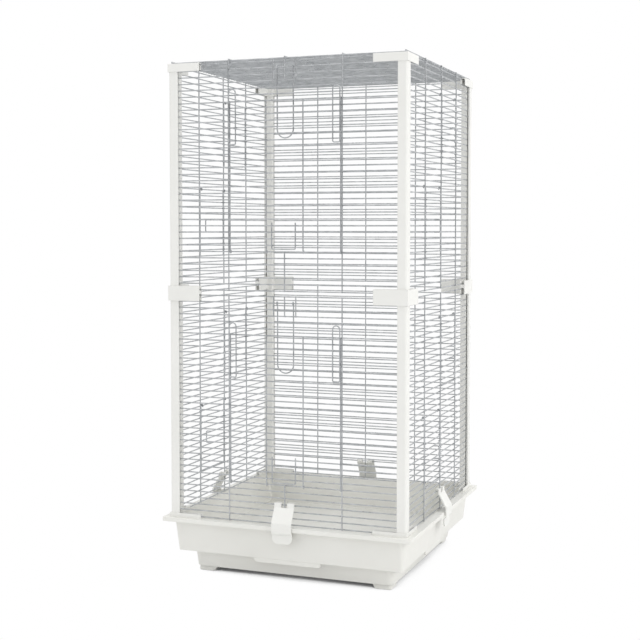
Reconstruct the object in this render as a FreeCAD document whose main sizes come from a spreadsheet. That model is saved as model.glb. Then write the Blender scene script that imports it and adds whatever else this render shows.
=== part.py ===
"""Square bird cage in two tiers on a moulded pan.

Millimetres, +Z up, front towards -Y, origin on the floor under the middle of the cage.
Every driving dimension is a cell of the sheet, and every piece takes its sizes from those cells.
"""
import FreeCAD, Part
import Sketcher
import math
import os
import re

DOC = FreeCAD.newDocument("BirdCage")
SHEET = DOC.addObject("Spreadsheet::Sheet", "Sizes")

# Driving dimensions: name, value, what it is
DRIVING = [
    # Moulded base
    ("foot_height", 9.0, "feet, floor to plinth"),
    ("foot_length", 36.0, "side of one square foot"),
    ("foot_inset", 4.0, "feet stand back from the plinth's lower edge"),
    ("plinth_setback", 23.6, "plinth's lower edge inside the pan's lower edge"),
    ("plinth_height", 32.0, "plinth, feet to pan"),
    ("plinth_draft", 8.0, "outward lean of the plinth walls in degrees"),
    ("pan_height", 56.0, "pan, plinth to underside of the rim"),
    ("pan_draft", 7.5, "outward lean of the pan walls in degrees"),
    ("base_wall", 2.6, "wall and floor thickness of the mouldings"),
    ("base_radius", 4.0, "round of the upright corners of pan and rim"),
    ("plinth_radius", 12.0, "round of the upright corners of the plinth"),
    ("rim_margin", 12.0, "pan's rim outside the posts"),
    ("rim_overhang", 15.2, "pan's rim outside the top of its walls"),
    ("flange_thickness", 7.3, "thickness of the pan's rim"),
    ("tab_half", 63.0, "half width of a finger tab"),
    ("tab_drop", 8.0, "finger tab below the pan's lower edge"),
    ("tab_setback", 0.9, "finger tab behind the pan's lower edge"),
    ("tab_radius", 5.0, "round of the finger tab's lower corners"),
    # Corner posts, joints and caps
    ("cage_half", 222.2, "half side of the cage over the posts"),
    ("post_side", 17.3, "side of a square post"),
    ("post_radius", 4.0, "round of a post's outer edge"),
    ("slot_depth", 6.4, "depth of a post's wall slot"),
    ("fit_gap", 0.1, "clearance where pieces slot together"),
    ("arm_length", 62.0, "arm of an L-shaped corner piece from its outer corner"),
    ("arm_wall", 2.9, "inner wall of an arm behind the wires"),
    ("corner_wall", 2.0, "inner wall of a corner piece round its post"),
    ("corner_floor", 1.4, "floor of a bottom corner under the post"),
    ("corner_height", 7.0, "height of a bottom corner"),
    ("corner_proud", 1.7, "bottom corner and cap outside the post face"),
    ("joint_proud", 2.5, "middle joint outside the post face"),
    ("joint_below", 12.0, "middle joint below its web"),
    ("joint_above", 8.0, "middle joint above its web"),
    ("web_thickness", 7.1, "web between the tiers in a middle joint"),
    ("cap_height", 14.5, "height of a top cap"),
    ("cap_wall", 1.5, "top plate of a cap"),
    ("edge_round", 1.0, "round of the corner pieces' upright edges"),
    # Wire walls
    ("wire_diameter", 2.2, "wire of walls, roof, doors and catches"),
    ("wire_inset", 2.4, "upright wires inside the post face"),
    ("pitch", 11.406, "spacing of the level wires"),
    ("rows_below", 6, "level wires below the door's hinge wire"),
    ("door_rows", 23, "spacings from the door's hinge wire to its top wire"),
    ("rows_above", 6, "level wires above the door's top wire"),
    ("side_bay_extra", 9.8, "side bays of a wall wider than the bays between its upright wires"),
    ("roof_rest", 0.8, "roof wires past the middle of the edge wire above them"),
    # Doors, catches, hangers, flaps
    ("hinge_gap", 0.05, "clearance of a wire eye on its hinge wire"),
    ("eye_turn", 250.0, "turn of a wire eye round its hinge wire in degrees"),
    ("swing_gap", 0.4, "clearance between a door's side wire and the wall's upright"),
    ("bracket_half", 22.0, "half width of the cup bracket on a door"),
    ("bracket_rise", 46.0, "cup bracket, bar to leg ends"),
    ("bend_radius", 2.6, "small bends in the wire"),
    ("catch_width", 13.0, "catch loop between leg axes"),
    ("catch_height", 96.0, "catch loop, bottom axis to top axis"),
    ("catch_rise", 21.0, "catch loop above the door's top wire"),
    ("hanger_half", 15.0, "half width of the hanging U"),
    ("hanger_length", 122.0, "hanging U, hinge wire to its bottom axis"),
    ("hook_half", 21.0, "half spacing of the short uprights beside the hanger"),
    ("flap_rows", 11, "spacings from a flap's hinge wire to its bottom wire"),
    ("rows_below_flap", 5, "level wires below the front flaps"),
    ("rows_above_flap", 4, "level wires above the back flaps"),
    ("bow_reach", 11.0, "finger bow of a flap, out from its wires"),
    ("bow_row", 7, "spacings from a flap's hinge wire to the foot of its finger bow"),
    ("bow_rows", 2, "spacings that a finger bow spans"),
    # Clips
    ("clip_width", 37.0, "width of a clip"),
    ("clip_thickness", 2.4, "plate thickness of a clip"),
    ("clip_row", 3, "wall wire that a clip hangs on"),
    ("clip_drop", 65.5, "clip, hinge wire to lower end"),
    ("clip_seat", 0.7, "clip's plate off the upright wire that it passes"),
    ("clip_catch", 4.0, "clip's plate back in under the rim"),
    ("clip_ear", 9.0, "width of one eye of a clip"),
    ("clip_notch", 12.0, "gap between the two eyes of a clip"),
    ("clip_gap", 1.2, "clip off the edge of the pan's rim"),
    ("clip_corner", 10.0, "round of a clip's lower corners"),
    ("clip_bend", 3.0, "inner bend radius of a clip's plate"),
]

# Sizes that follow from the driving ones
DERIVED = [
    ("flange_half", "=cage_half + rim_margin", "half side of the pan's rim"),
    ("pan_half", "=flange_half - rim_overhang - tan(pan_draft) * pan_height", "pan at its lower edge"),
    ("plinth_half", "=pan_half - plinth_setback", "half side of the plinth at its lower edge"),
    ("upright_spacing", "=(cage_half - side_bay_extra) / 2", "spacing of the upright wires"),
    ("front_flap_row", "=rows_below_flap + flap_rows", "hinge wire of the front flaps"),
    ("back_flap_row", "=rows_below + door_rows + rows_above - rows_above_flap", "hinge wire of the back flaps"),
]
for row, (alias, value, note) in enumerate(DRIVING + DERIVED, start=1):
    SHEET.set(f"A{row}", alias)
    SHEET.set(f"B{row}", str(value))
    SHEET.set(f"C{row}", note)
    SHEET.setAlias(f"B{row}", alias)
DOC.recompute()
SIZES = {alias: float(SHEET.get(alias)) for alias, value, note in DRIVING + DERIVED}

# Heights and depths that several pieces share, as formulas of the sheet
WIRE_RADIUS = "wire_diameter / 2"
PLINTH_TOP = "(foot_height + plinth_height)"
FLANGE_LOW = f"({PLINTH_TOP} + pan_height)"
FLANGE_TOP = f"({FLANGE_LOW} + flange_thickness)"
POST_FOOT = f"({FLANGE_TOP} + corner_floor)"
LAST_ROW = "(rows_below + door_rows + rows_above)"
LOW_ROW = f"({POST_FOOT} + fit_gap + {WIRE_RADIUS})"
LOW_TOP = f"({LOW_ROW} + {LAST_ROW} * pitch)"
WEB_LOW = f"({LOW_TOP} + {WIRE_RADIUS} + fit_gap)"
WEB_HIGH = f"({WEB_LOW} + web_thickness)"
HIGH_ROW = f"({WEB_HIGH} + fit_gap + {WIRE_RADIUS})"
HIGH_TOP = f"({HIGH_ROW} + {LAST_ROW} * pitch)"
CAP_CEILING = f"({HIGH_TOP} + {WIRE_RADIUS} + fit_gap)"
CAP_TOP = f"({CAP_CEILING} + cap_wall)"
ROOF_LEVEL = f"({CAP_TOP} + fit_gap + {WIRE_RADIUS})"
EDGE_LEVEL = f"({ROOF_LEVEL} + wire_diameter)"
POST_INNER = "(cage_half - post_side)"
UPRIGHT_DEPTH = "(cage_half - wire_inset)"
ROW_DEPTH = f"({UPRIGHT_DEPTH} - wire_diameter)"
ROW_END = f"({POST_INNER} + slot_depth - fit_gap)"
EYE_RADIUS = "(wire_diameter + hinge_gap)"
EYE_DEPTH = f"({ROW_DEPTH} + {EYE_RADIUS})"
HANGER_DEPTH = f"({ROW_DEPTH} - {EYE_RADIUS})"
DOOR_ROW_DEPTH = f"({EYE_DEPTH} + wire_diameter)"
DOOR_FRONT_DEPTH = f"({DOOR_ROW_DEPTH} + wire_diameter + hinge_gap)"
DOOR_HALF = "(upright_spacing - wire_diameter - swing_gap)"

TIERS = {"lower": LOW_ROW, "upper": HIGH_ROW}
OUTWARD = {
    "front": FreeCAD.Vector(0, -1, 0),
    "back": FreeCAD.Vector(0, 1, 0),
    "left": FreeCAD.Vector(-1, 0, 0),
    "right": FreeCAD.Vector(1, 0, 0),
}
UP = FreeCAD.Vector(0, 0, 1)
ALONG_WIRE = {
    "x": FreeCAD.Rotation(FreeCAD.Vector(0, 1, 0), 90),
    "y": FreeCAD.Rotation(FreeCAD.Vector(1, 0, 0), -90),
    "z": FreeCAD.Rotation(),
}
NODES = []


def count(alias):
    """A whole number from the sheet."""
    return int(round(SIZES[alias]))


def formula(text):
    """Point every size named in a text at its cell."""
    def cell(match):
        word = match.group()
        return "Sizes." + word if word in SIZES else word
    return re.sub(r"[a-z_]+", cell, str(text))


def bind(piece, prop, text):
    piece.setExpression(prop, formula(text))


def put(piece, place):
    """Bind the place of a piece to three formulas."""
    for axis, text in zip("xyz", place):
        bind(piece, f"Placement.Base.{axis}", text)


def row_height(tier, row):
    """Height of a level wire, counted from the lowest one of its tier."""
    return f"({TIERS[tier]} + ({row}) * pitch)"


def wall_point(wall, along, depth, height):
    """Place on a wall: along it, out from the middle of the cage, and up."""
    places = {
        "front": (along, f"-({depth})", height),
        "back": (along, depth, height),
        "left": (f"-({depth})", along, height),
        "right": (depth, along, height),
    }
    return places[wall]


def wall_axis(wall):
    return "x" if wall in ("front", "back") else "y"


def node(piece, label):
    """Keep a piece as a node of the part under its own name."""
    piece.Label = label
    NODES.append(piece)
    return piece


def box(name, x, y, z):
    """A block between two formulas along each axis."""
    block = DOC.addObject("Part::Box", name)
    for side, (low, high) in zip(("Length", "Width", "Height"), (x, y, z)):
        bind(block, side, f"({high}) - ({low})")
    put(block, (x[0], y[0], z[0]))
    return block


def rod(name, axis, start, length):
    """A straight wire from a start point along one axis."""
    wire = DOC.addObject("Part::Cylinder", name)
    wire.Placement = FreeCAD.Placement(FreeCAD.Vector(), ALONG_WIRE[axis])
    bind(wire, "Radius", WIRE_RADIUS)
    bind(wire, "Height", length)
    put(wire, start)
    return wire


def wall_rod(name, wall, span, depth, height):
    """A level wire of a wall between two places along it."""
    low, high = span
    return rod(name, wall_axis(wall), wall_point(wall, low, depth, height), f"({high}) - ({low})")


def upright(name, wall, along, depth, low, high):
    """An upright wire of a wall."""
    return rod(name, "z", wall_point(wall, along, depth, low), f"({high}) - ({low})")


def bend(name, centre, begin, towards, radius, sweep):
    """A bent stretch of wire: it starts in one direction from its centre and turns towards another."""
    ring = DOC.addObject("Part::Torus", name)
    turn = FreeCAD.Rotation(begin, towards, begin.cross(towards), "XYZ")
    ring.Placement = FreeCAD.Placement(FreeCAD.Vector(), turn)
    ring.Angle3 = sweep
    bind(ring, "Radius1", radius)
    bind(ring, "Radius2", WIRE_RADIUS)
    put(ring, centre)
    return ring


def fuse(name, pieces):
    joined = DOC.addObject("Part::MultiFuse", name)
    joined.Shapes = pieces
    joined.Refine = True
    return joined


def cut(name, base, tools):
    rest = DOC.addObject("Part::Cut", name)
    rest.Base = base
    rest.Tool = tools[0] if len(tools) == 1 else fuse(name + "_tools", tools)
    return rest


def group(name, pieces):
    """Wires that are welded where they touch, kept as one piece."""
    welded = DOC.addObject("Part::Compound", name)
    welded.Links = pieces
    return welded


def mirror(name, source, normal):
    copy = DOC.addObject("Part::Mirroring", name)
    copy.Source = source
    copy.Normal = normal
    return copy


def round_edges(name, base, radius, chosen):
    """Round the edges of a solid whose middle point passes a test."""
    DOC.recompute()
    edges = []
    for index, edge in enumerate(base.Shape.Edges, start=1):
        middle = edge.CenterOfMass
        along = edge.tangentAt(edge.FirstParameter)
        if chosen(middle, along):
            edges.append((index, SIZES[radius], SIZES[radius]))
    rounded = DOC.addObject("Part::Fillet", name)
    rounded.Base = base
    rounded.Edges = edges
    return rounded


# Moulded base
def origin_plane(body, role):
    return next(plane for plane in body.Origin.OriginFeatures if plane.Role == role)


def sketch_on(body, name, role, offset):
    """A sketch on one of the body's own planes, moved along that plane's normal."""
    sketch = body.newObject("Sketcher::SketchObject", name)
    sketch.AttachmentSupport = [(origin_plane(body, role), "")]
    sketch.MapMode = "FlatFace"
    bind(sketch, "AttachmentOffset.Base.z", offset)
    return sketch


def rounded_square(body, name, half, radius, height):
    """A centred square outline with round corners on a level plane."""
    sketch = sketch_on(body, name, "XY_Plane", height)
    side = SIZES["pan_half"]
    bow = SIZES["base_radius"]
    centre = side - bow
    for quarter in range(4):
        turn = FreeCAD.Rotation(UP, 90 * quarter)
        line = [turn.multVec(FreeCAD.Vector(x, -side, 0)) for x in (-centre, centre)]
        sketch.addGeometry(Part.LineSegment(*line), False)
        circle = Part.Circle(turn.multVec(FreeCAD.Vector(centre, -centre, 0)), UP, bow)
        start = math.radians(90 * quarter - 90)
        sketch.addGeometry(Part.ArcOfCircle(circle, start, start + math.pi / 2), False)
    for item in range(8):
        sketch.addConstraint(Sketcher.Constraint("Tangent", item, 2, (item + 1) % 8, 1))
    for line, level in ((0, "Horizontal"), (2, "Vertical"), (4, "Horizontal"), (6, "Vertical")):
        sketch.addConstraint(Sketcher.Constraint(level, line))
    for arc in (3, 5, 7):
        sketch.addConstraint(Sketcher.Constraint("Equal", 1, arc))
    sizes = [
        (Sketcher.Constraint("Radius", 1, bow), radius),
        (Sketcher.Constraint("DistanceY", 0, 1, -1, 1, side), half),
        (Sketcher.Constraint("DistanceX", -1, 1, 2, 1, side), half),
        (Sketcher.Constraint("DistanceY", -1, 1, 4, 1, side), half),
        (Sketcher.Constraint("DistanceX", 6, 1, -1, 1, side), half),
    ]
    for constraint, text in sizes:
        index = sketch.addConstraint(constraint)
        bind(sketch, f"Constraints[{index}]", text)
    return sketch


def pad(body, name, sketch, length, draft="0"):
    feature = body.newObject("PartDesign::Pad", name)
    feature.Profile = sketch
    bind(feature, "Length", length)
    bind(feature, "TaperAngle", draft)
    return feature


def pocket(body, name, sketch, length, draft="0", upward=False):
    feature = body.newObject("PartDesign::Pocket", name)
    feature.Profile = sketch
    feature.Reversed = upward
    bind(feature, "Length", length)
    bind(feature, "TaperAngle", draft)
    return feature


def make_plinth():
    """Low hollow moulding, open below, with walls that lean outwards."""
    body = DOC.addObject("PartDesign::Body", "Plinth")
    outline = rounded_square(body, "PlinthOutline", "plinth_half", "plinth_radius", "foot_height")
    pad(body, "PlinthBlock", outline, "plinth_height", "plinth_draft")
    hollow = rounded_square(body, "PlinthHollow", "plinth_half - base_wall",
                            "plinth_radius - base_wall", "foot_height")
    pocket(body, "PlinthCavity", hollow, "plinth_height - base_wall", "plinth_draft", upward=True)
    node(body, "base_plinth")


def make_feet():
    """Four square feet under the plinth's corners."""
    outer = "plinth_half - foot_inset"
    inner = f"{outer} - foot_length"
    spans = {"left": (f"-({outer})", f"-({inner})"), "right": (inner, outer)}
    depths = {"front": (f"-({outer})", f"-({inner})"), "back": (inner, outer)}
    for end, y in depths.items():
        for hand, x in spans.items():
            block = box(f"FootBlock_{end}_{hand}", x, y, ("0", "foot_height"))
            foot = round_edges(f"Foot_{end}_{hand}", block, "post_radius",
                               lambda middle, along: abs(along.z) > 0.9)
            node(foot, f"foot_{end}_{hand}")


def make_pan():
    """Tray with leaning walls, a flat rim and a finger tab at the lower edge of each side."""
    body = DOC.addObject("PartDesign::Body", "Pan")
    outline = rounded_square(body, "PanOutline", "pan_half", "base_radius", PLINTH_TOP)
    pad(body, "PanBlock", outline, "pan_height", "pan_draft")
    rim = rounded_square(body, "RimOutline", "flange_half", "base_radius", FLANGE_LOW)
    pad(body, "Rim", rim, "flange_thickness")
    mouth_half = "pan_half + tan(pan_draft) * (pan_height + flange_thickness) - base_wall"
    mouth_radius = "base_radius + tan(pan_draft) * (pan_height + flange_thickness) - base_wall"
    mouth = rounded_square(body, "PanMouth", mouth_half, mouth_radius, FLANGE_TOP)
    depth = "pan_height + flange_thickness - base_wall"
    pocket(body, "PanCavity", mouth, depth, "-pan_draft")
    tab = finger_tab(body)
    pattern = body.newObject("PartDesign::PolarPattern", "TabPattern")
    pattern.Originals = [tab]
    pattern.Axis = (origin_plane(body, "Z_Axis"), [""])
    pattern.Angle = 360
    pattern.Occurrences = 4
    body.Tip = pattern
    node(body, "base_pan")


def finger_tab(body):
    """Tab that hangs from the front wall's lower edge, with rounded lower corners."""
    sketch = sketch_on(body, "TabOutline", "XZ_Plane", "pan_half - tab_setback")
    half = SIZES["tab_half"]
    bow = SIZES["tab_radius"]
    top = SIZES["foot_height"] + SIZES["plinth_height"] + SIZES["base_wall"]
    low = SIZES["foot_height"] + SIZES["plinth_height"] - SIZES["tab_drop"]
    corners = [
        Part.LineSegment(FreeCAD.Vector(half, top, 0), FreeCAD.Vector(-half, top, 0)),
        Part.LineSegment(FreeCAD.Vector(-half, top, 0), FreeCAD.Vector(-half, low + bow, 0)),
        Part.ArcOfCircle(Part.Circle(FreeCAD.Vector(bow - half, low + bow, 0), UP, bow),
                         math.pi, 1.5 * math.pi),
        Part.LineSegment(FreeCAD.Vector(bow - half, low, 0), FreeCAD.Vector(half - bow, low, 0)),
        Part.ArcOfCircle(Part.Circle(FreeCAD.Vector(half - bow, low + bow, 0), UP, bow),
                         1.5 * math.pi, 2 * math.pi),
        Part.LineSegment(FreeCAD.Vector(half, low + bow, 0), FreeCAD.Vector(half, top, 0)),
    ]
    for piece in corners:
        sketch.addGeometry(piece, False)
    joints = [("Coincident", 0, 2, 1, 1), ("Tangent", 1, 2, 2, 1), ("Tangent", 2, 2, 3, 1),
              ("Tangent", 3, 2, 4, 1), ("Tangent", 4, 2, 5, 1), ("Coincident", 5, 2, 0, 1),
              ("Horizontal", 0), ("Vertical", 1), ("Horizontal", 3), ("Vertical", 5), ("Equal", 2, 4)]
    for joint in joints:
        sketch.addConstraint(Sketcher.Constraint(*joint))
    sizes = [
        (Sketcher.Constraint("Radius", 2, bow), "tab_radius"),
        (Sketcher.Constraint("DistanceX", -1, 1, 0, 1, half), "tab_half"),
        (Sketcher.Constraint("DistanceX", 0, 2, -1, 1, half), "tab_half"),
        (Sketcher.Constraint("DistanceY", -1, 1, 0, 1, top), f"{PLINTH_TOP} + base_wall"),
        (Sketcher.Constraint("DistanceY", -1, 1, 3, 1, low), f"{PLINTH_TOP} - tab_drop"),
    ]
    for constraint, text in sizes:
        index = sketch.addConstraint(constraint)
        bind(sketch, f"Constraints[{index}]", text)
    tab = pad(body, "Tab", sketch, "base_wall")
    tab.Reversed = True
    return tab


# Corner posts, joints and caps, made at the front right corner and mirrored
def corner_block(name, proud, low, high):
    """L-shaped block: a square round the post and an arm along each wall."""
    outer = f"(cage_half + {proud})"
    inner = f"({POST_INNER} - corner_wall)"
    reach = f"({outer} - arm_length)"
    back = f"({ROW_DEPTH} - {WIRE_RADIUS} - fit_gap - arm_wall)"
    square = box(name + "_square", (inner, outer), (f"-{outer}", f"-{inner}"), (low, high))
    front_arm = box(name + "_front_arm", (reach, inner), (f"-{outer}", f"-{back}"), (low, high))
    side_arm = box(name + "_side_arm", (back, outer), (f"-{inner}", f"-{reach}"), (low, high))
    block = fuse(name + "_block", [square, front_arm, side_arm])
    return round_edges(name + "_rounded", block, "edge_round",
                       lambda middle, along: abs(along.z) > 0.9 and outside_post(middle))


def outside_post(middle):
    """Upright edges that lie on the outer faces of a corner piece."""
    return max(middle.x, -middle.y) > SIZES["cage_half"]


def corner_pocket(name, low, high):
    """Room for the post and for the wall ends along both arms, between two heights."""
    outer = "(cage_half + fit_gap)"
    inner = f"({POST_INNER} - fit_gap)"
    back = f"({ROW_DEPTH} - {WIRE_RADIUS} - fit_gap)"
    beyond = "(cage_half - arm_length - corner_wall)"
    return [
        box(name + "_post", (inner, outer), (f"-{outer}", f"-{inner}"), (low, high)),
        box(name + "_front", (beyond, inner), (f"-{outer}", f"-{back}"), (low, high)),
        box(name + "_side", (back, outer), (f"-{inner}", f"-{beyond}"), (low, high)),
    ]


def make_post(name, low, high):
    """Square post with a rounded outer edge and a slot for each wall."""
    span = (POST_INNER, "cage_half")
    block = box(name + "_block", span, ("-cage_half", f"-{POST_INNER}"), (low, high))
    rounded = round_edges(name + "_rounded", block, "post_radius",
                          lambda middle, along: abs(along.z) > 0.9 and is_outer_corner(middle))
    near = f"({ROW_DEPTH} - {WIRE_RADIUS} - fit_gap)"
    far = f"({ROW_DEPTH} + {WIRE_RADIUS} + fit_gap)"
    floor = f"({POST_INNER} + slot_depth)"
    front_slot = box(name + "_front_slot", (POST_INNER, floor), (f"-{far}", f"-{near}"), (low, high))
    side_slot = box(name + "_side_slot", (near, far), (f"-{floor}", f"-{POST_INNER}"), (low, high))
    return cut(name, rounded, [front_slot, side_slot])


def is_outer_corner(middle):
    return min(middle.x, -middle.y) > SIZES["cage_half"] - 0.5 * SIZES["post_side"]


def make_bottom_corner():
    high = f"({FLANGE_TOP} + corner_height)"
    block = corner_block("BottomCorner", "corner_proud", FLANGE_TOP, high)
    return cut("BottomCornerPiece", block, corner_pocket("BottomPocket", POST_FOOT, high))


def make_middle_joint():
    low = f"({WEB_LOW} - joint_below)"
    high = f"({WEB_HIGH} + joint_above)"
    block = corner_block("MiddleJoint", "joint_proud", low, high)
    pockets = corner_pocket("JointLow", low, WEB_LOW) + corner_pocket("JointHigh", WEB_HIGH, high)
    return cut("MiddleJointPiece", block, pockets)


def make_top_cap():
    """Hood over the post and the wall ends; the roof lies on it."""
    low = f"({CAP_TOP} - cap_height)"
    block = corner_block("TopCap", "corner_proud", low, CAP_TOP)
    return cut("TopCapPiece", block, corner_pocket("CapPocket", low, CAP_CEILING))


def make_corners():
    pieces = {
        "bottom_corner": make_bottom_corner(),
        "lower_post": make_post("LowerPost", POST_FOOT, WEB_LOW),
        "middle_joint": make_middle_joint(),
        "upper_post": make_post("UpperPost", WEB_HIGH, CAP_CEILING),
        "top_cap": make_top_cap(),
    }
    for label, piece in pieces.items():
        node(piece, f"{label}_front_right")
        left = mirror(f"{label}_mirror_left", piece, FreeCAD.Vector(1, 0, 0))
        node(left, f"{label}_front_left")
        back = mirror(f"{label}_mirror_back", piece, FreeCAD.Vector(0, 1, 0))
        node(back, f"{label}_back_right")
        both = mirror(f"{label}_mirror_both", left, FreeCAD.Vector(0, 1, 0))
        node(both, f"{label}_back_left")


# Wire walls and roof
def wall_rows(wall, tier, holes):
    """Level wires of a wall; holes give the bays that are left open and their first and last row."""
    wires = []
    for row in range(count("rows_below") + count("door_rows") + count("rows_above") + 1):
        start = f"-{ROW_END}"
        spans = []
        for low, high, first, last in holes:
            if first < row < last:
                spans.append((start, low))
                start = high
        spans.append((start, ROW_END))
        for piece, span in enumerate(spans):
            name = f"{tier}_{wall}_row_{row}_{piece}"
            wires.append(wall_rod(name, wall, span, ROW_DEPTH, row_height(tier, row)))
    return wires


def wall_upright(wall, tier, name, along, first_row, last_row):
    """Upright wire across the rows; in the upper tier it goes on up to the roof's outermost wire."""
    low = f"{row_height(tier, first_row)} - {WIRE_RADIUS}"
    high = f"{row_height(tier, last_row)} + {WIRE_RADIUS}"
    if tier == "upper" and last_row == LAST_ROW and not name.startswith("hook"):
        level = ROOF_LEVEL if wall_axis(wall) == "x" else EDGE_LEVEL
        high = f"{level} + {WIRE_RADIUS}"
    return upright(f"{tier}_{wall}_upright_{name}", wall, along, UPRIGHT_DEPTH, low, high)


def bay_edges(low, high):
    """Ends of the cut wires at the two uprights of an open bay."""
    return f"({low}) + {WIRE_RADIUS}", f"({high}) - {WIRE_RADIUS}"


def make_front_wall(tier):
    first = count("rows_below")
    last = first + count("door_rows")
    low, high = bay_edges("-upright_spacing", "upright_spacing")
    wires = wall_rows("front", tier, [(low, high, first, last)])
    stop_row = "(rows_below + door_rows + rows_above / 2)"
    wires += [
        wall_upright("front", tier, "left", "-upright_spacing", "0", LAST_ROW),
        wall_upright("front", tier, "right", "upright_spacing", "0", LAST_ROW),
        wall_upright("front", tier, "low", "0", "0", "rows_below"),
        wall_upright("front", tier, "high", "0", stop_row, LAST_ROW),
        wall_upright("front", tier, "hook_left", "-hook_half", stop_row, LAST_ROW),
        wall_upright("front", tier, "hook_right", "hook_half", stop_row, LAST_ROW),
    ]
    node(group(f"Wall_{tier}_front", wires), f"{tier}_front_wall")


def make_plain_wall(wall, tier, holes):
    wires = wall_rows(wall, tier, holes)
    for name, along in (("low", "-upright_spacing"), ("middle", "0"), ("high", "upright_spacing")):
        wires.append(wall_upright(wall, tier, name, along, "0", LAST_ROW))
    node(group(f"Wall_{tier}_{wall}", wires), f"{tier}_{wall}_wall")


def make_walls():
    front_low, front_high = bay_edges("-upright_spacing", "0")
    back_low, back_high = bay_edges("0", "upright_spacing")
    front_row = count("front_flap_row")
    back_row = count("back_flap_row")
    depth = count("flap_rows")
    flap_holes = [(front_low, front_high, front_row - depth, front_row),
                  (back_low, back_high, back_row - depth, back_row)]
    for tier in TIERS:
        make_front_wall(tier)
        make_plain_wall("back", tier, [])
        make_plain_wall("left", tier, flap_holes)
        make_plain_wall("right", tier, flap_holes)


def make_roof():
    """Wires from side to side that lie on the caps, with edge and cross wires on top of them."""
    depth = SIZES["cage_half"] - SIZES["wire_inset"] - SIZES["wire_diameter"]
    steps = round(2 * depth / SIZES["pitch"])
    end = f"({ROW_DEPTH} + roof_rest)"
    wires = []
    for step in range(steps + 1):
        start = (f"-{end}", f"({2 * step - steps}) / {steps} * {ROW_DEPTH}", ROOF_LEVEL)
        wires.append(rod(f"roof_wire_{step}", "x", start, f"2 * {end}"))
    places = {"left_edge": f"-{ROW_DEPTH}", "left": "-upright_spacing", "middle": "0",
              "right": "upright_spacing", "right_edge": ROW_DEPTH}
    for name, along in places.items():
        wires.append(rod(f"roof_{name}", "y", (along, f"-{end}", EDGE_LEVEL), f"2 * {end}"))
    node(group("Roof", wires), "roof_grille")


# Doors, catches and hangers on the front walls
def hinged_upright(name, wall, along, hinge, end, closing, inside=False):
    """Upright wire and the eye at its end round the hinge wire; closing is the way the eye turns."""
    low, high = (hinge, end) if closing.z < 0 else (end, hinge)
    depth = HANGER_DEPTH if inside else EYE_DEPTH
    leg = upright(name + "_leg", wall, along, depth, low, high)
    begin = -OUTWARD[wall] if inside else OUTWARD[wall]
    centre = wall_point(wall, along, ROW_DEPTH, hinge)
    eye = bend(name + "_eye", centre, begin, closing, EYE_RADIUS, SIZES["eye_turn"])
    return [leg, eye]


def make_bracket(tier):
    """U-shaped cup bracket on the front of a door, standing on the door's lowest wires."""
    legs = {"left": "-bracket_half", "right": "bracket_half"}
    side = {"left": FreeCAD.Vector(-1, 0, 0), "right": FreeCAD.Vector(1, 0, 0)}
    bar = f"({row_height(tier, 'rows_below')} + 2 * wire_diameter + swing_gap)"
    knee = f"({bar} + bend_radius)"
    pieces = []
    for hand, along in legs.items():
        inward = f"({along} - bend_radius)" if hand == "right" else f"({along} + bend_radius)"
        top = f"({bar} + bracket_rise)"
        pieces.append(upright(f"{tier}_bracket_{hand}", "front", along, DOOR_FRONT_DEPTH, knee, top))
        centre = wall_point("front", inward, DOOR_FRONT_DEPTH, knee)
        pieces.append(bend(f"{tier}_bracket_knee_{hand}", centre, side[hand], -UP, "bend_radius", 90))
    span = ("-bracket_half + bend_radius", "bracket_half - bend_radius")
    pieces.append(wall_rod(f"{tier}_bracket_bar", "front", span, DOOR_FRONT_DEPTH, bar))
    return pieces


def make_front_door(tier):
    """Door of upright wires with hinge eyes and of level wires in line with the wall's rows."""
    hinge = row_height(tier, "rows_below")
    top = f"({row_height(tier, 'rows_below + door_rows')} + {WIRE_RADIUS})"
    middle = f"({DOOR_HALF} / 3)"
    places = {"left": f"-{DOOR_HALF}", "mid_left": f"-{middle}", "mid_right": middle, "right": DOOR_HALF}
    wires = []
    for name, along in places.items():
        wires += hinged_upright(f"{tier}_door_{name}", "front", along, hinge, top, -UP)
    span = (f"-({DOOR_HALF} + {WIRE_RADIUS})", f"({DOOR_HALF} + {WIRE_RADIUS})")
    for row in range(1, count("door_rows") + 1):
        height = row_height(tier, f"rows_below + {row}")
        wires.append(wall_rod(f"{tier}_door_row_{row}", "front", span, DOOR_ROW_DEPTH, height))
    wires += make_bracket(tier)
    node(group(f"Door_{tier}", wires), f"{tier}_front_door")


def make_catch(tier, hand):
    """Closed wire loop with a round top that slides on the front of a door beside its edge."""
    sign = "-" if hand == "left" else ""
    middle = f"{sign}({DOOR_HALF} - catch_width / 2)"
    top = f"({row_height(tier, 'rows_below + door_rows')} + catch_rise)"
    bottom = f"({top} - catch_height)"
    arch = f"({top} - catch_width / 2)"
    knee = f"({bottom} + bend_radius)"
    right = FreeCAD.Vector(1, 0, 0)
    name = f"{tier}_{hand}_catch"
    crown = wall_point("front", middle, DOOR_FRONT_DEPTH, arch)
    pieces = [bend(name + "_crown", crown, right, UP, "catch_width / 2", 180)]
    for side, leg, heading in (("low", "-", -right), ("high", "+", right)):
        along = f"({middle} {leg} catch_width / 2)"
        back = "+" if leg == "-" else "-"
        pieces.append(upright(f"{name}_{side}_leg", "front", along, DOOR_FRONT_DEPTH, knee, arch))
        centre = wall_point("front", f"({along} {back} bend_radius)", DOOR_FRONT_DEPTH, knee)
        pieces.append(bend(f"{name}_{side}_knee", centre, heading, -UP, "bend_radius", 90))
    span = (f"({middle} - catch_width / 2 + bend_radius)", f"({middle} + catch_width / 2 - bend_radius)")
    pieces.append(wall_rod(name + "_bar", "front", span, DOOR_FRONT_DEPTH, bottom))
    node(fuse("Catch_" + name, pieces), name)


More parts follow.
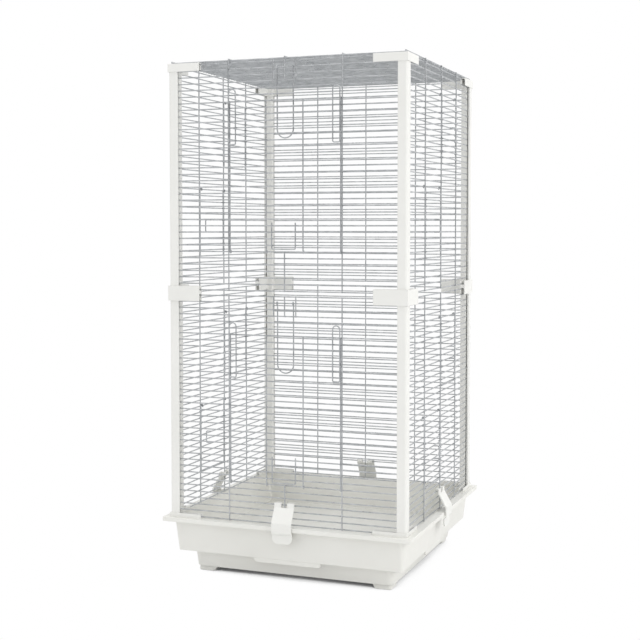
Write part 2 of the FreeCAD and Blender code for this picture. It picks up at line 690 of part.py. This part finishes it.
def make_hanger(tier):
    """U-shaped wire that hangs inside the front wall from the row under its top wire."""
    hinge = row_height(tier, f"{LAST_ROW} - 1")
    round_low = f"({hinge} - hanger_length + hanger_half)"
    pieces = []
    for hand, along in (("left", "-hanger_half"), ("right", "hanger_half")):
        pieces += hinged_upright(f"{tier}_hanger_{hand}", "front", along, hinge, round_low, UP, inside=True)
    centre = wall_point("front", "0", HANGER_DEPTH, round_low)
    pieces.append(bend(f"{tier}_hanger_bow", centre, FreeCAD.Vector(-1, 0, 0), -UP, "hanger_half", 180))
    node(fuse(f"Hanger_{tier}", pieces), f"{tier}_hanger")


# Feeder flaps on the side walls
def make_bow(name, wall, along, low, high):
    """Finger bow that stands out from a flap between two of its level wires."""
    out = OUTWARD[wall]
    face = f"({DOOR_ROW_DEPTH} + {WIRE_RADIUS})"
    knee = f"({DOOR_ROW_DEPTH} + bow_reach - bend_radius)"
    pieces = []
    for side, height, turn, back in (("low", low, -UP, "+"), ("high", high, UP, "-")):
        reach = f"{knee} - {face}"
        nearest = face if wall == "right" else knee
        start = wall_point(wall, along, nearest, height)
        pieces.append(rod(f"{name}_{side}_arm", "x", start, reach))
        centre = wall_point(wall, along, knee, f"({height} {back} bend_radius)")
        pieces.append(bend(f"{name}_{side}_knee", centre, out, turn, "bend_radius", 90))
    outer = f"({DOOR_ROW_DEPTH} + bow_reach)"
    pieces.append(upright(name + "_grip", wall, along, outer, f"{low} + bend_radius", f"{high} - bend_radius"))
    return pieces


def make_flap(tier, wall, end):
    """Flap that hangs by wire eyes from a row of a side wall and covers one open bay."""
    bay = ("-upright_spacing", "0") if end == "front" else ("0", "upright_spacing")
    hinge_row = f"{end}_flap_row"
    side = "wire_diameter + swing_gap"
    edges = {"low": f"({bay[0]} + {side})", "high": f"({bay[1]} - ({side}))"}
    middle = f"(({bay[0]}) + ({bay[1]})) / 2"
    hinge = row_height(tier, hinge_row)
    foot = f"({row_height(tier, f'{hinge_row} - flap_rows')} - {WIRE_RADIUS})"
    name = f"{tier}_{wall}_{end}_flap"
    wires = []
    for place, along in edges.items():
        wires += hinged_upright(f"{name}_{place}", wall, along, hinge, foot, UP)
    span = (f"{edges['low']} - {WIRE_RADIUS}", f"{edges['high']} + {WIRE_RADIUS}")
    for row in range(1, count("flap_rows") + 1):
        height = row_height(tier, f"{hinge_row} - {row}")
        wires.append(wall_rod(f"{name}_row_{row}", wall, span, DOOR_ROW_DEPTH, height))
    low = row_height(tier, f"{hinge_row} - bow_row")
    high = row_height(tier, f"{hinge_row} - bow_row + bow_rows")
    wires += make_bow(name + "_bow", wall, middle, low, high)
    node(group("Flap_" + name, wires), name)


# Clips between the lower walls and the rim of the pan
def rounded_path(points, radius):
    """Straight runs joined by tangent arcs of one radius."""
    edges = []
    start = points[0]
    for before, corner, after in zip(points, points[1:], points[2:]):
        to_before = (before - corner).normalize()
        to_after = (after - corner).normalize()
        half_turn = (math.pi - to_before.getAngle(to_after)) / 2
        back = radius * math.tan(half_turn)
        first = corner + to_before * back
        last = corner + to_after * back
        towards = (to_before + to_after).normalize()
        middle = corner + towards * (radius / math.cos(half_turn) - radius)
        edges.append(Part.LineSegment(start, first).toShape())
        edges.append(Part.Arc(first, middle, last).toShape())
        start = last
    edges.append(Part.LineSegment(start, points[-1]).toShape())
    return Part.Wire(edges)


def clip_shape():
    """Bent plate of the front clip: two eyes on a wall wire, out past the rim, in under it and down."""
    size = SIZES
    rim_low = size["foot_height"] + size["plinth_height"] + size["pan_height"]
    rim_top = rim_low + size["flange_thickness"]
    low_row = rim_top + size["corner_floor"] + size["fit_gap"] + size["wire_diameter"] / 2
    hinge = low_row + size["clip_row"] * size["pitch"]
    row_depth = size["cage_half"] - size["wire_inset"] - size["wire_diameter"]
    eye = size["wire_inset"] + size["wire_diameter"] / 2 + size["clip_seat"]
    top_depth = row_depth + eye - size["clip_seat"]
    rim_depth = size["flange_half"] + size["clip_gap"]
    under = rim_low - size["clip_gap"]
    places = [
        (top_depth, hinge + eye),
        (top_depth, hinge - eye),
        (rim_depth, rim_top + size["flange_thickness"]),
        (rim_depth, under),
        (rim_depth - size["clip_catch"], under - size["clip_catch"]),
        (rim_depth - size["clip_catch"], hinge - size["clip_drop"]),
    ]
    inner_face = rounded_path([FreeCAD.Vector(0, -depth, height) for depth, height in places],
                              size["clip_bend"])
    profile = inner_face.makeOffset2D(size["clip_thickness"], 0, True, True)
    half = size["clip_width"] / 2
    across = FreeCAD.Vector(1, 0, 0)
    plate = profile.extrude(across * size["clip_width"])
    plate.translate(across * -half)
    lowest = plate.BoundBox.ZMin
    corners = [edge for edge in plate.Edges
               if abs(edge.tangentAt(edge.FirstParameter).y) > 0.9
               and edge.BoundBox.ZMax < lowest + size["clip_corner"] / 2]
    plate = plate.makeFillet(size["clip_corner"], corners)
    outside = top_depth + size["clip_thickness"] + size["clip_gap"]
    notch = Part.makeBox(size["clip_notch"], outside - row_depth, 2 * eye + size["clip_gap"])
    notch.translate(FreeCAD.Vector(-size["clip_notch"] / 2, -outside, hinge - eye))
    clip = plate.cut(notch)
    ear_start = size["clip_notch"] / 2
    for begin in (ear_start, -ear_start - size["clip_ear"]):
        place = FreeCAD.Vector(begin, -row_depth, hinge)
        clip = clip.fuse(Part.makeCylinder(eye, size["clip_ear"], place, across))
    bore = size["wire_diameter"] / 2 + size["hinge_gap"]
    clip = clip.cut(Part.makeCylinder(bore, size["clip_width"],
                                      FreeCAD.Vector(-half, -row_depth, hinge), across))
    return clip.removeSplitter()


def make_clips():
    """The same clip in the middle of each side."""
    shape = clip_shape()
    for turns, wall in enumerate(("front", "right", "back", "left")):
        clip = DOC.addObject("Part::Feature", f"Clip_{wall}")
        clip.Shape = shape
        clip.Placement = FreeCAD.Placement(FreeCAD.Vector(), FreeCAD.Rotation(UP, 90 * turns))
        node(clip, f"clip_{wall}")


def make_parts():
    make_plinth()
    make_feet()
    make_pan()
    make_corners()
    make_walls()
    make_roof()
    for tier in TIERS:
        make_front_door(tier)
        make_hanger(tier)
        for hand in ("left", "right"):
            make_catch(tier, hand)
        for wall in ("left", "right"):
            for end in ("front", "back"):
                make_flap(tier, wall, end)
    make_clips()


def check_and_write():
    """Stop if any piece failed, then write one file for each node."""
    DOC.recompute()
    for piece in DOC.Objects:
        if "Invalid" in piece.State or "Error" in piece.State:
            raise RuntimeError(f"{piece.Name} failed: {piece.State}")
    for piece in NODES:
        if piece.Shape.isNull() or not piece.Shape.isValid() or not piece.Shape.Solids:
            raise RuntimeError(f"{piece.Label} has no valid solid")
    os.makedirs("parts", exist_ok=True)
    for piece in NODES:
        piece.Shape.exportStep(f"parts/{piece.Label}.step")
        print(piece.Label, len(piece.Shape.Solids), round(piece.Shape.Volume, 1), piece.Shape.BoundBox)


make_parts()
check_and_write()
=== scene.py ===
"""Bird cage: looks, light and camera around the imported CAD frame. Metres, +Z up, front towards -Y."""
import math

import bmesh
import bpy
import numpy as np
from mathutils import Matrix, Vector


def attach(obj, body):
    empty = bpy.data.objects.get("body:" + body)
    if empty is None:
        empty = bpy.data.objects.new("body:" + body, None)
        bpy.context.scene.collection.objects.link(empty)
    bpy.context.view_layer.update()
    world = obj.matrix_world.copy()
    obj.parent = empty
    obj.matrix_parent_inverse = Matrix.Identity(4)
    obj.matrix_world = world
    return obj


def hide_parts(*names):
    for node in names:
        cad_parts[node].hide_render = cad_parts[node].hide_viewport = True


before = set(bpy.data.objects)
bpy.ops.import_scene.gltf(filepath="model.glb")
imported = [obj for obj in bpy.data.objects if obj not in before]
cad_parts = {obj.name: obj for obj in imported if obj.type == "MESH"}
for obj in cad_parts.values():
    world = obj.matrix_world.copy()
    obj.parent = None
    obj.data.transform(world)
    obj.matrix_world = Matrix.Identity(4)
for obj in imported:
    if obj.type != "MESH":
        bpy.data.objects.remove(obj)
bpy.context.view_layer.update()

# Photograph's camera
LENS = 68.937
SHIFT = (0.0003, -0.0590)
EYE = Vector((0.8120, -2.1833, 0.6263))
YAW = math.radians(20.817)
PITCH_DOWN = math.radians(2.553)

scene = bpy.context.scene
scene.view_settings.view_transform = "Standard"


# Materials
class Nodes:
    """A material's node tree with short calls for adding and joining nodes."""

    def __init__(self, name):
        self.material = bpy.data.materials.new(name)
        self.material.use_nodes = True
        self.tree = self.material.node_tree
        self.tree.nodes.clear()
        self.output = self.add("ShaderNodeOutputMaterial")
        self.coords = self.add("ShaderNodeTexCoord").outputs["Object"]

    def add(self, kind):
        return self.tree.nodes.new(kind)

    def link(self, source, target):
        self.tree.links.new(source, target)

    def noise(self, scale, detail):
        """Noise over the object's own coordinates."""
        texture = self.add("ShaderNodeTexNoise")
        texture.inputs["Scale"].default_value = scale
        texture.inputs["Detail"].default_value = detail
        self.link(self.coords, texture.inputs["Vector"])
        return texture.outputs["Fac"]

    def spread(self, value, low, high):
        """Map a noise value to a range."""
        node = self.add("ShaderNodeMapRange")
        node.inputs["From Min"].default_value = 0.3
        node.inputs["From Max"].default_value = 0.7
        node.inputs["To Min"].default_value = low
        node.inputs["To Max"].default_value = high
        self.link(value, node.inputs["Value"])
        return node.outputs["Result"]

    def ramp(self, value, stops):
        node = self.add("ShaderNodeValToRGB")
        while len(node.color_ramp.elements) < len(stops):
            node.color_ramp.elements.new(0.5)
        for element, (place, colour) in zip(node.color_ramp.elements, stops):
            element.position = place
            element.color = (*colour, 1.0)
        self.link(value, node.inputs["Fac"])
        return node.outputs["Color"]

    def bump(self, height, distance, strength, below=None):
        node = self.add("ShaderNodeBump")
        node.inputs["Distance"].default_value = distance
        node.inputs["Strength"].default_value = strength
        self.link(height, node.inputs["Height"])
        if below is not None:
            self.link(below, node.inputs["Normal"])
        return node.outputs["Normal"]

    def surface(self, colour, roughness, normal, **constants):
        shader = self.add("ShaderNodeBsdfPrincipled")
        self.link(colour, shader.inputs["Base Color"])
        self.link(roughness, shader.inputs["Roughness"])
        self.link(normal, shader.inputs["Normal"])
        for key, value in constants.items():
            shader.inputs[key.replace("_", " ")].default_value = value
        self.link(shader.outputs["BSDF"], self.output.inputs["Surface"])
        return self.material


def plastic(name, dark, light, rough):
    """Moulded plastic: cloudy tint, fine spark-eroded grain and slow waves of sinking."""
    mat = Nodes(name)
    colour = mat.ramp(mat.noise(9.0, 5.0), [(0.25, dark), (0.75, light)])
    roughness = mat.spread(mat.noise(55.0, 4.0), rough - 0.06, rough + 0.08)
    waves = mat.bump(mat.noise(14.0, 1.0), 0.0006, 0.35)
    normal = mat.bump(mat.noise(1600.0, 2.0), 0.00005, 0.5, waves)
    return mat.surface(colour, roughness, normal, Specular_IOR_Level=0.42)


def plated_wire(name, dark, light):
    """Zinc-plated wire: uneven grey with duller patches and light drawing marks."""
    mat = Nodes(name)
    colour = mat.ramp(mat.noise(70.0, 4.0), [(0.3, dark), (0.7, light)])
    roughness = mat.spread(mat.noise(160.0, 3.0), 0.24, 0.44)
    normal = mat.bump(mat.noise(2600.0, 2.0), 0.00004, 0.6)
    return mat.surface(colour, roughness, normal, Metallic=0.9)


FRAME_WHITE = plastic("frame_plastic", (0.770, 0.768, 0.735), (0.815, 0.812, 0.782), 0.42)
BASE_WHITE = plastic("base_plastic", (0.762, 0.757, 0.715), (0.806, 0.801, 0.762), 0.45)
CLIP_WHITE = plastic("clip_plastic", (0.785, 0.784, 0.748), (0.826, 0.824, 0.792), 0.38)
PLATED = plated_wire("plated_wire", (0.40, 0.415, 0.43), (0.61, 0.625, 0.64))


# Plastic pieces: the solids' shapes with rounded moulded edges
CORNERS = ("front_left", "front_right", "back_left", "back_right")
WALLS = ("front", "back", "left", "right")
FLAPS = ("left_front", "left_back", "right_front", "right_back")
FLAT = math.radians(0.5)
SHARP = math.radians(32)
WELD_SEAM = 1e-6
SOLE = 0.001
FOOT_SLANT = 0.005
PLASTIC_STARTS = ("base", "foot", "bottom_corner", "lower_post", "middle_joint", "upper_post",
                  "top_cap", "clip")


def merged_mesh(source, name):
    """A node's shape as flat many-sided faces, so that its edges can be rounded."""
    mesh = bpy.data.meshes.new(name)
    work = bmesh.new()
    work.from_mesh(source.data)
    work.transform(source.matrix_world)
    bmesh.ops.remove_doubles(work, verts=work.verts, dist=WELD_SEAM)
    bmesh.ops.dissolve_limit(work, angle_limit=FLAT, verts=work.verts, edges=work.edges)
    work.to_mesh(mesh)
    work.free()
    return mesh


def slant_ends(mesh, run):
    """Lean a foot's two inner faces, so that it is shorter on the floor than at the plinth."""
    low = min(vertex.co.z for vertex in mesh.vertices)
    centre = sum((vertex.co for vertex in mesh.vertices), Vector()) / len(mesh.vertices)
    for vertex in mesh.vertices:
        if vertex.co.z < low + SOLE:
            for axis in (0, 1):
                outwards = math.copysign(1.0, centre[axis])
                if (vertex.co[axis] - centre[axis]) * outwards < 0:
                    vertex.co[axis] += outwards * run


def soften(node, body, material, width, slant=0.0):
    """Stand in for a plastic node with the same piece whose edges are rounded."""
    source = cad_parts[node]
    piece = bpy.data.objects.new(f"{node}_moulding", merged_mesh(source, f"{node}_moulding"))
    if slant:
        slant_ends(piece.data, slant)
    scene.collection.objects.link(piece)
    piece.data.materials.append(material)
    for polygon in piece.data.polygons:
        polygon.use_smooth = True
    bevel = piece.modifiers.new("edges", "BEVEL")
    bevel.width = width
    bevel.segments = 3
    bevel.limit_method = "ANGLE"
    bevel.angle_limit = SHARP
    bevel.harden_normals = True
    weigh = piece.modifiers.new("normals", "WEIGHTED_NORMAL")
    weigh.keep_sharp = True
    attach(piece, body)
    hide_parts(node)


soften("base_plinth", "cage", BASE_WHITE, 0.0009)
soften("base_pan", "cage", BASE_WHITE, 0.0008)
for corner in CORNERS:
    soften(f"foot_{corner}", "cage", BASE_WHITE, 0.0012, slant=FOOT_SLANT)
    soften(f"bottom_corner_{corner}", "cage", FRAME_WHITE, 0.0004)
    soften(f"lower_post_{corner}", "cage", FRAME_WHITE, 0.0005)
    soften(f"middle_joint_{corner}", "cage", FRAME_WHITE, 0.0006)
    soften(f"upper_post_{corner}", "cage", FRAME_WHITE, 0.0005)
    soften(f"top_cap_{corner}", "cage", FRAME_WHITE, 0.0003)
for wall in WALLS:
    soften(f"clip_{wall}", f"clip_{wall}", CLIP_WHITE, 0.0005)

# Wire nodes keep their shape and get the plated finish
for name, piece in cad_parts.items():
    if not name.startswith(PLASTIC_STARTS):
        piece.data.materials.clear()
        piece.data.materials.append(PLATED)
        for polygon in piece.data.polygons:
            polygon.use_smooth = True


# Weld beads where the wires of a panel cross
WELD_RADIUS = 0.00145
WELD_SIDES = 8
TOUCH = 0.00015
WIRE_THICKNESS = 0.0024
SHORTEST_WIRE = 0.004


def wire_boxes(mesh):
    """Lowest and highest corners of each straight wire in a mesh."""
    points = np.empty(len(mesh.vertices) * 3)
    mesh.vertices.foreach_get("co", points)
    points = points.reshape(-1, 3)
    edges = np.empty(len(mesh.edges) * 2, dtype=np.int64)
    mesh.edges.foreach_get("vertices", edges)
    first, second = edges.reshape(-1, 2).T
    label = np.arange(len(points))
    while True:
        before = label.copy()
        low = np.minimum(label[first], label[second])
        np.minimum.at(label, first, low)
        np.minimum.at(label, second, low)
        label = label[label]
        if np.array_equal(before, label):
            break
    wires = [points[label == name] for name in np.unique(label)]
    low = np.array([wire.min(0) for wire in wires])
    high = np.array([wire.max(0) for wire in wires])
    extent = np.sort(high - low, axis=1)
    straight = (extent[:, 1] < WIRE_THICKNESS) & (extent[:, 2] > SHORTEST_WIRE)
    return low[straight], high[straight]


def crossings(mesh):
    """Points at which two straight wires of different directions touch."""
    low, high = wire_boxes(mesh)
    long_axis = (high - low).argmax(1)
    spots = []
    for one in range(len(low)):
        gap = np.maximum(low[one], low) - np.minimum(high[one], high)
        touching = (gap.max(1) < TOUCH) & (long_axis > long_axis[one])
        for other in np.flatnonzero(touching):
            spots.append((np.maximum(low[one], low[other]) + np.minimum(high[one], high[other])) / 2)
    return spots


def make_bead():
    """Corners and faces of one bead."""
    work = bmesh.new()
    bmesh.ops.create_uvsphere(work, u_segments=WELD_SIDES, v_segments=WELD_SIDES - 2, radius=WELD_RADIUS)
    work.verts.index_update()
    points = np.array([vertex.co[:] for vertex in work.verts])
    faces = [[vertex.index for vertex in face.verts] for face in work.faces]
    work.free()
    return points, faces


def add_welds(node, body):
    """Beads at a panel's crossings, as one piece that rides with the panel."""
    points, faces = make_bead()
    spots = crossings(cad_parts[node].data)
    beads = np.concatenate([points + spot for spot in spots])
    starts = range(0, len(beads), len(points))
    corners = [[corner + start for corner in face] for start in starts for face in faces]
    mesh = bpy.data.meshes.new(f"{node}_welds")
    mesh.from_pydata(beads.tolist(), [], corners)
    for polygon in mesh.polygons:
        polygon.use_smooth = True
    mesh.materials.append(PLATED)
    piece = bpy.data.objects.new(f"{node}_welds", mesh)
    scene.collection.objects.link(piece)
    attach(piece, body)


for tier in ("lower", "upper"):
    for wall in WALLS:
        add_welds(f"{tier}_{wall}_wall", "cage")
    add_welds(f"{tier}_front_door", f"{tier}_door")
    for flap in FLAPS:
        add_welds(f"{tier}_{flap}_flap", f"{tier}_{flap}_flap")
add_welds("roof_grille", "cage")


# Stage, light and camera
PLAIN_RAYS = ("Is Camera Ray", "Is Glossy Ray", "Is Transmission Ray")
WORLD_LEVEL = 0.92
DIM_ROOM = 0.12
FLOOR_HALF = 30.0
SHADOW_REACH = 0.14
SENSOR = 36.0


def light_path(tree, *names):
    """1 for rays of the named kinds, 0 for the rest."""
    path = tree.nodes.new("ShaderNodeLightPath")
    result = path.outputs[names[0]]
    for name in names[1:]:
        either = tree.nodes.new("ShaderNodeMath")
        either.operation = "MAXIMUM"
        tree.links.new(result, either.inputs[0])
        tree.links.new(path.outputs[name], either.inputs[1])
        result = either.outputs[0]
    return result


def map_range(tree, value, source, target):
    """Map a value smoothly from one range to another."""
    node = tree.nodes.new("ShaderNodeMapRange")
    node.interpolation_type = "SMOOTHSTEP"
    node.inputs["From Min"].default_value, node.inputs["From Max"].default_value = source
    node.inputs["To Min"].default_value, node.inputs["To Max"].default_value = target
    tree.links.new(value, node.inputs["Value"])
    return node.outputs["Result"]


def make_world(level, dim):
    """White backdrop and ceiling; the room beside and before the sweep is dim in the wires' gloss."""
    world = bpy.data.worlds.new("studio")
    world.use_nodes = True
    scene.world = world
    tree = world.node_tree
    tree.nodes.clear()
    split = tree.nodes.new("ShaderNodeSeparateXYZ")
    tree.links.new(tree.nodes.new("ShaderNodeTexCoord").outputs["Generated"], split.inputs[0])
    height = map_range(tree, split.outputs["Z"], (0.05, 0.75), (dim, 1.0))
    back = map_range(tree, split.outputs["Y"], (0.35, 0.85), (dim, 1.0))
    brighter = tree.nodes.new("ShaderNodeMath")
    brighter.operation = "MAXIMUM"
    tree.links.new(height, brighter.inputs[0])
    tree.links.new(back, brighter.inputs[1])
    seen = tree.nodes.new("ShaderNodeMath")
    seen.operation = "MAXIMUM"
    tree.links.new(brighter.outputs[0], seen.inputs[0])
    tree.links.new(light_path(tree, "Is Camera Ray"), seen.inputs[1])
    white = tree.nodes.new("ShaderNodeBackground")
    white.inputs["Color"].default_value = (1.0, 1.0, 1.0, 1.0)
    tree.links.new(seen.outputs[0], white.inputs["Strength"])
    soft = tree.nodes.new("ShaderNodeBackground")
    soft.inputs["Color"].default_value = (0.985, 0.99, 1.0, 1.0)
    soft.inputs["Strength"].default_value = level
    mix = tree.nodes.new("ShaderNodeMixShader")
    tree.links.new(light_path(tree, *PLAIN_RAYS), mix.inputs[0])
    tree.links.new(soft.outputs[0], mix.inputs[1])
    tree.links.new(white.outputs[0], mix.inputs[2])
    output = tree.nodes.new("ShaderNodeOutputWorld")
    tree.links.new(mix.outputs[0], output.inputs["Surface"])


def make_floor(size):
    """Wide pale floor, white but for a painted shadow close to what stands on it."""
    mesh = bpy.data.meshes.new("floor")
    corners = [(-size, -size, 0), (size, -size, 0), (size, size, 0), (-size, size, 0)]
    mesh.from_pydata(corners, [], [(0, 1, 2, 3)])
    floor = bpy.data.objects.new("floor", mesh)
    scene.collection.objects.link(floor)
    material = bpy.data.materials.new("floor")
    material.use_nodes = True
    tree = material.node_tree
    tree.nodes.clear()
    pale = tree.nodes.new("ShaderNodeBsdfDiffuse")
    pale.inputs["Color"].default_value = (0.86, 0.86, 0.86, 1.0)
    # Painted shadow: camera, gloss and transmission rays see an emission that dims with ambient
    # occlusion under and beside what stands on the floor
    shade = tree.nodes.new("ShaderNodeAmbientOcclusion")
    shade.inputs["Distance"].default_value = SHADOW_REACH
    level = map_range(tree, shade.outputs["AO"], (0.06, 0.30), (0.06, 1.0))
    glow = tree.nodes.new("ShaderNodeEmission")
    tree.links.new(level, glow.inputs["Strength"])
    mix = tree.nodes.new("ShaderNodeMixShader")
    tree.links.new(light_path(tree, *PLAIN_RAYS), mix.inputs[0])
    tree.links.new(pale.outputs[0], mix.inputs[1])
    tree.links.new(glow.outputs[0], mix.inputs[2])
    output = tree.nodes.new("ShaderNodeOutputMaterial")
    tree.links.new(mix.outputs[0], output.inputs["Surface"])
    floor.data.materials.append(material)


def area_light(name, place, target, size, power):
    """Round soft lamp that faces a target."""
    lamp = bpy.data.lights.new(name, "AREA")
    lamp.shape = "DISK"
    lamp.size = size
    lamp.energy = power
    lamp.color = (1.0, 0.99, 0.975)
    holder = bpy.data.objects.new(name, lamp)
    holder.location = place
    holder.rotation_euler = (Vector(target) - Vector(place)).to_track_quat("-Z", "Y").to_euler()
    scene.collection.objects.link(holder)


def make_camera():
    """Camera at the photograph's viewing angle."""
    camera = bpy.data.cameras.new("camera")
    camera.sensor_width = SENSOR
    camera.lens = LENS
    camera.shift_x, camera.shift_y = SHIFT
    camera.clip_end = 50.0
    holder = bpy.data.objects.new("camera", camera)
    holder.location = EYE
    level = math.cos(PITCH_DOWN)
    ahead = Vector((-math.sin(YAW) * level, math.cos(YAW) * level, -math.sin(PITCH_DOWN)))
    holder.rotation_euler = ahead.to_track_quat("-Z", "Y").to_euler()
    scene.collection.objects.link(holder)
    scene.camera = holder


make_world(WORLD_LEVEL, DIM_ROOM)
make_floor(FLOOR_HALF)
area_light("key", (3.4, -0.8, 2.0), (0.0, 0.0, 0.45), 1.8, 34.0)
area_light("fill", (-2.2, -2.8, 1.6), (0.0, 0.0, 0.45), 2.2, 8.5)
area_light("top", (0.0, 0.0, 8.0), (0.0, 0.0, 0.0), 5.0, 140.0)
make_camera()
